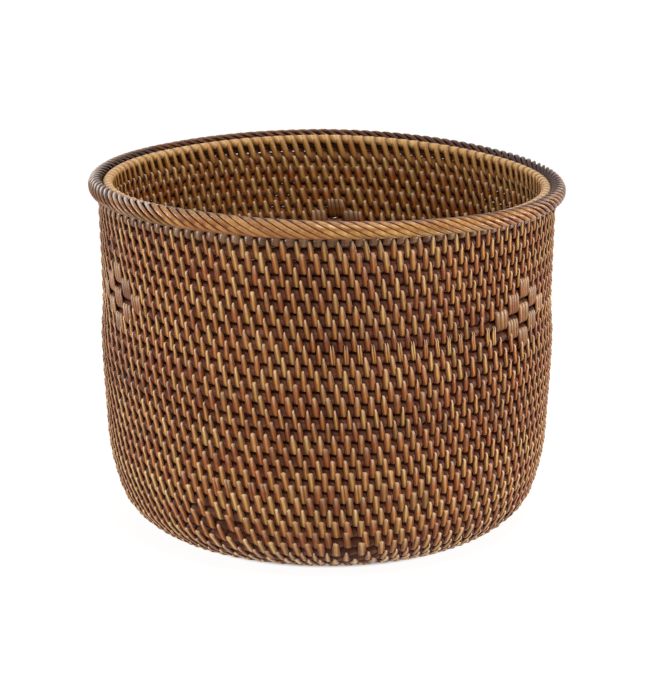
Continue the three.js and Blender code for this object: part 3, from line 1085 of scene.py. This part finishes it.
over_rail = np.radians(OVER_RAIL_ANGLES)
stitch_end = bound_gap(stitch_azimuth)[:, None] + STITCH_END_LIFT
long_r = np.array([*(RAIL_RADIUS + OVER_RAIL * np.cos(over_rail)), *DOWN_RADII])
over_z = np.tile(RAIL_HEIGHT + OVER_RAIL * np.sin(over_rail), (len(stitch_azimuth), 1))
down_z = RAIL_STITCH_BEND + (stitch_end - RAIL_STITCH_BEND) * np.array(DOWN_SHARES)
long_z = np.concatenate([over_z, down_z], axis=1)
rail_stitches = rim_strips(
    "rim_rail_stitches", stitch_azimuth, long_r, long_z, -1, RAIL_STITCH_WIDTH,
    (long_z - RAIL_STITCH_MIDDLE) * RAIL_STITCH_LEAN, RAIL_STITCH_TONE,
)
print("rim stitches", len(stitch_azimuth), "wraps", len(wrap_azimuth))

# %% Stitch ends under the border
END_WIDTH = 3.6
END_TONE = 0.5
END_SLANT = 0.4
END_TOP = 190.6
END_LIFT = 0.4
END_DOWN = [0, 0.12, 0.3, 0.75, 0.9, 1]
END_RADII = [124.2, 125.2, 125.7, 125.7, 125.0, 123.9]

down_row = np.linspace(0, 1, RINGS)
end_foot = bound_gap(wrap_azimuth)[:, None] + END_LIFT
rim_ends = rim_strips(
    "rim_stitch_ends", wrap_azimuth, np.interp(down_row, END_DOWN, END_RADII),
    END_TOP + (end_foot - END_TOP) * down_row, 1, END_WIDTH,
    np.linspace(END_SLANT, -END_SLANT, RINGS), END_TONE,
)
print("ends", len(wrap_azimuth))

# %% [markdown]
# ## The twisted border
#
# Seven half-round strands run round the hoop in eighteen turns each. No single operator rolls a
# strip round an oval while it runs round a circle, so the rings of one strand are worked out
# here. The other six are copies, each turned a little further round the basket.
#
# The strands are pulled tight in front and lie looser at the sides. Their ridges are painted
# pale, as a painted reflection, most of all at the left, so the mesh remembers where these
# ridges are.

# %% Section and route of a strand
STRANDS = 7
STRAND_TURNS = 18
STRAND_STEPS = 24
STRAND_OVAL = (6.2, 9.0)
STRAND_THICKNESS = 2.3
HALF_JOINT = 0.0004
OVAL_STEPS = 1441
LOOSE_WIDTH = 1.8
TIGHT_WIDTH = 2.85
TIGHT_BEHIND = 0.6
LOOSE_SECTION = [
    (-0.42, -0.5), (-0.5, -0.12), (-0.4, 0.22), (-0.16, 0.46),
    (0.16, 0.46), (0.4, 0.22), (0.5, -0.12), (0.42, -0.5),
]
TIGHT_SECTION = [
    (-0.42, -0.5), (-0.5, -0.12), (-0.46, 0.26), (-0.24, 0.42),
    (0.24, 0.42), (0.46, 0.26), (0.5, -0.12), (0.42, -0.5),
]

oval_angle = np.linspace(0, 2 * math.pi, OVAL_STEPS)
oval = np.stack([np.cos(oval_angle) * STRAND_OVAL[0], np.sin(oval_angle) * STRAND_OVAL[1]], 1) / 2
oval_run = length_along(oval)
oval_run /= oval_run[-1]


def strand_centre(share):
    wound = np.mod(-STRAND_TURNS * share, 1.0)
    out = np.interp(wound, oval_run, oval[:, 0])
    up = np.interp(wound, oval_run, oval[:, 1])
    return around(BORDER_RADIUS + out, 2 * math.pi * share, BORDER_HEIGHT + up)


def strand_section(azimuth):
    """The section of the strand at each azimuth, in millimetres, and how tight it is there."""
    in_front = rise(np.cos(azimuth), 0.21875, 0.84375)
    behind = np.minimum(rise(-np.cos(azimuth), 0, 0.625), TIGHT_BEHIND)
    tight = np.maximum(in_front, behind)[:, None, None]
    section = np.array(LOOSE_SECTION) * (1 - tight) + np.array(TIGHT_SECTION) * tight
    width = LOOSE_WIDTH + (TIGHT_WIDTH - LOOSE_WIDTH) * tight
    size = np.concatenate([width, np.full_like(tight, STRAND_THICKNESS)], 2)
    return section * size, tight[..., 0]


def tube_faces(rings, sides):
    """Faces between the rings of a tube, and one more to close each end."""
    faces = []
    for ring in range(rings):
        for side in range(sides):
            after = (side + 1) % sides
            low, high = ring * sides, (ring + 1) * sides
            faces.append((low + side, low + after, high + after, high + side))
    faces.append(tuple(range(sides))[::-1])
    faces.append(tuple(range(rings * sides, (rings + 1) * sides)))
    return faces


print("oval", STRAND_OVAL, "mm, a turn every", round(360 / STRAND_TURNS, 1), "degrees")


# %% Sweep one strand
# Painted shade on the strands' low edges, fading where they are pulled tight, and a painted reflection
# on their ridges.
EDGE_FADE = 0.55
RIDGE_REFLECTION_LEAST = 0.05
RIDGE_REFLECTION_SHARE = 1.2
STEP_SHARE = 1e-4


def keep_painted_light(mesh, section, tight, angle, azimuth):
    """Keep the low edges (painted shade), the side towards the basket, and the ridge (painted
    reflection).
    """
    sides = section.shape[1]
    height = section[..., 1] / STRAND_THICKNESS
    # Painted shade on the strand's low edges, less where it is pulled tight.
    store(mesh, "edge", np.clip(1.15 - height * 1.6 - EDGE_FADE * tight, 0, 1))
    store(mesh, "inward", np.repeat(rise(np.cos(angle), 0.4, -0.2), sides))
    # Painted reflection on the ridges that face up, strongest at the sides and at the left.
    on_top = rise(np.sin(angle), 0.25, 0.75) * rise(np.cos(angle), -0.5, 1 / 3)
    at_sides = np.maximum(rise(abs(np.cos(azimuth)), 0.75, 0.125), RIDGE_REFLECTION_LEAST)
    mostly_left = 0.7 - 0.3 * np.sin(azimuth)
    ridge = rise(height / height.max(), 0.375, 0.875)
    store(mesh, "crest", (on_top * at_sides * mostly_left)[:, None] * ridge * RIDGE_REFLECTION_SHARE)


def sweep_strand(name):
    rings = STRAND_TURNS * STRAND_STEPS
    share = np.linspace(-0.5 + HALF_JOINT, 0.5 - HALF_JOINT, rings + 1)
    azimuth = 2 * math.pi * share
    centre = strand_centre(share)
    along = strand_centre(share + STEP_SHARE) - strand_centre(share - STEP_SHARE)
    along /= np.linalg.norm(along, axis=1)[:, None]
    angle = np.interp(np.mod(-STRAND_TURNS * share, 1.0), oval_run, oval_angle)
    face = around(np.cos(angle) * STRAND_OVAL[1], azimuth, np.sin(angle) * STRAND_OVAL[0])
    face -= (face * along).sum(1)[:, None] * along
    face /= np.linalg.norm(face, axis=1)[:, None]
    across = np.cross(face, along)
    section, tight = strand_section(azimuth)
    points = centre[:, None] + across[:, None] * section[..., :1] + face[:, None] * section[..., 1:]
    mesh = bpy.data.meshes.new(name)
    faces = tube_faces(rings, section.shape[1])
    mesh.from_pydata((points * MM).reshape(-1, 3).tolist(), [], faces)
    spot = np.zeros_like(points)
    spot[..., 0] = length_along(centre)[:, None]
    spot[..., 1] = section[..., 0]
    store(mesh, "grain", spot, "FLOAT_VECTOR")
    keep_painted_light(mesh, section, tight, angle, azimuth)
    piece = bpy.data.objects.new(name, mesh)
    bpy.context.scene.collection.objects.link(piece)
    select_only(piece)
    bpy.ops.object.mode_set(mode="EDIT")
    bpy.ops.mesh.select_all(action="SELECT")
    bpy.ops.mesh.normals_make_consistent(inside=False)
    bpy.ops.object.mode_set(mode="OBJECT")
    bpy.ops.object.shade_smooth()
    return piece


strands = [sweep_strand("border_strand_1_round")]
print("a strand has", len(strands[0].data.polygons), "faces")

# %% Copy the strand
# Painted shade: each strand's tone is lowered towards the sides of the basket.
SIDE_PAINTED_SHADE = 0.28

for number in range(1, STRANDS):
    select_only(strands[0])
    bpy.ops.object.duplicate()
    copy = bpy.context.object
    copy.name = f"border_strand_{number + 1}_round"
    bpy.ops.object.mode_set(mode="EDIT")
    bpy.ops.mesh.select_all(action="SELECT")
    bpy.ops.transform.rotate(
        value=-2 * math.pi * number / (STRANDS * STRAND_TURNS), orient_axis="Z",
        center_override=(0, 0, 0),
    )
    bpy.ops.object.mode_set(mode="OBJECT")
    strands.append(copy)
ring_azimuth = np.linspace(-math.pi, math.pi, STRAND_TURNS * STRAND_STEPS + 1)
side_shade = np.repeat(SIDE_PAINTED_SHADE * abs(np.sin(ring_azimuth)), len(LOOSE_SECTION))
for strand in strands:
    store(strand.data, "tone", chance.uniform(0.34, 0.66) - side_shade)
print("strands", len(strands))

# %% [markdown]
# ## The rim droops
#
# The coil ends under the rim. The rim of the real basket droops by about five millimetres at the
# right of the photograph, and its border is pulled flatter there. All pieces of the rim are
# lowered together: by one amount at the top of the border and by another at its foot.

# %% Lower the rim
DROOP_AZIMUTH = [-180, -160, -135, -90, -45, -30, 0, 15, 30, 47, 90, 113, 130, 149, 165, 180]
DROOP_TOP = [0.6, 0.8, 1.7, 1.6, 0.4, 0.6, 1.9, 2.9, 3.8, 4.9, 5.2, 4.8, 4.1, 2.5, 1.3, 0.6]
DROOP_FOOT = [0.3, 0.3, 0.4, 0.4, 0.1, 0.1, 0.5, 0.8, 1.5, 2.6, 4.0, 3.8, 3.2, 1.8, 0.8, 0.3]
BORDER_FOOT = 189.2
BORDER_TOP = 200.3
DROOP_FROM = 181.0
DROOP_FULLY = 188.0


def droop(piece):
    co = np.zeros(len(piece.data.vertices) * 3)
    piece.data.vertices.foreach_get("co", co)
    x, y, z = co.reshape(-1, 3).T / MM
    azimuth = np.degrees(np.arctan2(x, -y))
    top = np.interp(azimuth, DROOP_AZIMUTH, DROOP_TOP)
    foot = np.interp(azimuth, DROOP_AZIMUTH, DROOP_FOOT)
    share = (z - BORDER_FOOT) / (BORDER_TOP - BORDER_FOOT)
    lower = (foot + (top - foot) * share) * rise(z, DROOP_FROM, DROOP_FULLY)
    points = np.stack([x, y, z - lower], 1) * MM
    piece.data.vertices.foreach_set("co", points.ravel())
    piece.data.update()


rim_pieces = strands + [rail, filler, hoop, rail_wraps, rail_stitches, rim_ends]
for piece in rim_pieces:
    droop(piece)
print("rim pieces lowered", len(rim_pieces))

# %% [markdown]
# ## The middle of the base
#
# The coil starts from a knot of strips, too small to wind. A ball of their thickness fills the
# hole that the first turn leaves, and takes their finish.

# %% The plug in the middle of the base
PLUG_RADIUS = 2.9

bpy.ops.object.select_all(action="DESELECT")
bpy.ops.mesh.primitive_uv_sphere_add(segments=20, ring_count=10, radius=PLUG_RADIUS * MM)
plug = bpy.context.object
plug.name = "base_start_plug"
bpy.ops.object.mode_set(mode="EDIT")
bpy.ops.mesh.select_all(action="SELECT")
bpy.ops.transform.translate(value=(0, 0, COIL_DEPTH / 2 * MM))
bpy.ops.object.mode_set(mode="OBJECT")
bpy.ops.object.shade_smooth()
spot = np.array([v.co[:] for v in plug.data.vertices]) / MM
store(plug.data, "grain", spot, "FLOAT_VECTOR")
print("plug", [round(v / MM, 2) for v in plug.dimensions])


# %% [markdown]
# ## The finishes
#
# Dark cane shows between pale strips. It is brown with fine lines and patches along the cane.
# Its inner faces are painted lighter and warmer, as painted fill light, and its grooves nearly
# black, as painted shade. The lines are noise stretched along the cane, which needs no picture
# and follows every bend.

# %% Finish of the canes
CANE_TONES = [(0.30, "3a1508"), (0.46, "532a16"), (0.58, "6b3f2a"), (0.74, "905f48")]
# Painted fill light: the colour that lightens and warms the canes' inner faces.
PAINTED_FILL_INSIDE = "a0663c"
# Painted shade: the colour that the grooves are painted with.
PAINTED_GROOVE_SHADE = "2e0e02"


def cane_finish():
    finish = Finish(bpy.data.materials.new("dark_cane"))
    grain = finish.attribute("grain", "Vector")
    lines = finish.noise(grain, (0.06, 1.3, 1.3), 3.0)
    patches = finish.noise(grain, (0.045, 0.2, 0.2), 2.0)
    colour = finish.ramp(patches * 0.6 + lines * 0.4, CANE_TONES)
    # Painted fill light: the inner faces of the canes are painted lighter and warmer.
    colour = finish.mix(finish.attribute("inside") * 0.5, colour, paint(PAINTED_FILL_INSIDE))
    # Painted shade: the grooves between rows and beside stitches are painted nearly black.
    groove = finish.level(finish.attribute("groove"), 0.55, 0.95, 0.0, 0.88)
    colour = finish.mix(groove, colour, paint(PAINTED_GROOVE_SHADE))
    bump = finish.node("ShaderNodeBump", {}, {"Strength": 0.4, "Distance": 0.0003, "Height": lines})
    rough = finish.level(lines, 0.3, 0.7, 0.42, 0.62)
    return finish.surface(**{
        "Base Color": colour, "Roughness": rough, "Normal": bump, "Specular IOR Level": 0.14,
    })


dark_cane = cane_finish()
print("finish", dark_cane.name)


# %% [markdown]
# ## The finish of the strips
#
# The strips were split from rattan skin, so they shine a little, have fine lines along them, and
# run from pale straw to burnt orange. Their upper ends are painted pale, as a painted highlight,
# and their edges and lower ends dark, as painted shade.
# One function serves all strips, because they differ only in their tones. The border has a
# second set of tones for its side towards the basket, and its ridges are painted nearly white,
# as a painted reflection.

# %% Finish of the strips
BURNT = "a85a28"
STRAW = "a58a48"
TIP_HIGHLIGHT = "f4debc"
# TIP_HIGHLIGHT is the colour of the painted highlight on the strips' top ends.
RIDGE_REFLECTION = "eee6dc"


def strip_finish(name, stops, shine, painted_shade, variety=0.45, cloudy=0.5, inner_stops=None):
    finish = Finish(bpy.data.materials.new(name))
    grain = finish.attribute("grain", "Vector")
    edge = finish.attribute("edge")
    fibres = finish.noise(grain, (0.10, 1.5, 1.0), 3.0)
    clouds = finish.noise(grain, (0.22, 0.35, 1.0), 2.0)
    hue = finish.noise(grain, (0.02, 0.05, 0.7), 0.0)
    place = finish.attribute("tone") + (fibres - 0.5) * 0.9 + (clouds - 0.5) * cloudy
    colour = finish.ramp(place, stops)
    colour = finish.mix(finish.level(hue, 0.52, 0.66, 0.0, variety), colour, paint(BURNT))
    colour = finish.mix(finish.level(hue, 0.48, 0.34, 0.0, variety), colour, paint(STRAW))
    if inner_stops:
        inward = finish.attribute("inward")
        colour = finish.mix(inward, colour, finish.ramp(place, inner_stops))
        # Painted reflection: the ridges are painted nearly white.
        ridge_reflection = finish.attribute("crest") * finish.level(clouds, 0.35, 0.6, 0.4, 1.0)
        colour = finish.mix(ridge_reflection, colour, paint(RIDGE_REFLECTION))
        shine = finish.level(inward, 0.0, 1.0, shine, 0.2) * finish.level(edge, 0.0, 0.7, 1.0, 0.1)
    # Painted highlight on the strips' top ends.
    tip_highlight = finish.attribute("tip") * finish.level(fibres, 0.3, 0.6, 0.35, 0.9)
    colour = finish.mix(tip_highlight, colour, paint(TIP_HIGHLIGHT))
    # Painted shade on the edges and lower ends of the strips.
    colour = finish.mix(finish.level(edge, 0.15, 1.0, 0.0, 0.85), colour, paint(painted_shade))
    bump = finish.node("ShaderNodeBump", {}, {"Strength": 0.4, "Distance": 0.0002, "Height": fibres})
    rough = finish.level(clouds, 0.3, 0.7, 0.30, 0.48)
    return finish.surface(**{
        "Base Color": colour, "Roughness": rough, "Normal": bump, "Coat Weight": shine,
        "Coat Roughness": 0.25, "Specular IOR Level": 0.16,
    })


# %% Tones of the strips
BINDING_TONES = [
    (0.02, "5e2a0c"), (0.24, "824416"), (0.42, "9c5a22"), (0.58, "ae6d2e"),
    (0.76, "bd863e"), (0.95, "cea25c"),
]
WRAP_TONES = [
    (0.05, "6a3c1c"), (0.3, "8e5c2e"), (0.55, "aa7a46"), (0.8, "be9460"), (0.95, "d0ac7c"),
]
RAIL_TONES = [(0.1, "98602c"), (0.4, "b8823f"), (0.7, "c49250"), (0.95, "d4ac70")]
END_TONES = [(0.1, "452414"), (0.4, "6c442a"), (0.7, "8c6240"), (0.95, "ac8660")]
BORDER_TONES = [
    (0.05, "5e3012"), (0.28, "865022"), (0.5, "aa743a"), (0.72, "c29458"), (0.95, "e0c496"),
]
BORDER_INNER_TONES = [(0.05, "200a04"), (0.3, "3c1c0c"), (0.6, "5e3218"), (0.95, "8a5c3c")]

split_rattan = strip_finish("split_rattan", BINDING_TONES, 0.12, "5a2404")
wrap_rattan = strip_finish("wrap_rattan", WRAP_TONES, 0.12, "5a2404", 0.2)
rail_rattan = strip_finish("rail_rattan", RAIL_TONES, 0.3, "5a3010", 0.15)
end_rattan = strip_finish("end_rattan", END_TONES, 0.2, "2c140a", 0.15)
border_rattan = strip_finish(
    "border_rattan", BORDER_TONES, 0.4, "280b02", 0.3, 1.1, BORDER_INNER_TONES
)
print("finishes", [m.name for m in bpy.data.materials if m.name.endswith("_rattan")])

# %% [markdown]
# ## Every piece takes the place of its solid
#
# A new piece rides with the body, hides the imported solid that it stands for, and takes its
# finish. The strips have no solid of their own, because the canes' solids are deep enough to
# include them.

# %% Dress and replace
START_TONE = 0.3


def place_piece(piece, finish, node=None):
    piece.data.materials.append(finish)
    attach(piece, "root")
    if node:
        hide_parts(node)


for piece, name in zip(canes[:-1], cane_names):
    place_piece(piece, dark_cane, name)
for piece in (canes[-1], plug):
    store(piece.data, "tone", np.full(len(piece.data.vertices), START_TONE))
place_piece(canes[-1], split_rattan, "base_start")
place_piece(plug, split_rattan)
for piece, name in ((rail, "rim_rail"), (filler, "rim_filler"), (hoop, "rim_hoop")):
    place_piece(piece, dark_cane, name)
for piece in bindings:
    place_piece(piece, split_rattan)
for piece, finish in ((rail_wraps, rail_rattan), (rail_stitches, rail_rattan), (rim_ends, end_rattan)):
    place_piece(piece, finish)
for piece, node in motif_pieces:
    place_piece(piece, wrap_rattan, node)
for number, strand in enumerate(strands):
    place_piece(strand, border_rattan, f"border_strand_{number + 1}")
triangles = sum(
    len(face.vertices) - 2
    for piece in bpy.data.objects
    if piece.type == "MESH" and not piece.hide_render
    for face in piece.data.polygons
)
print("triangles", triangles)
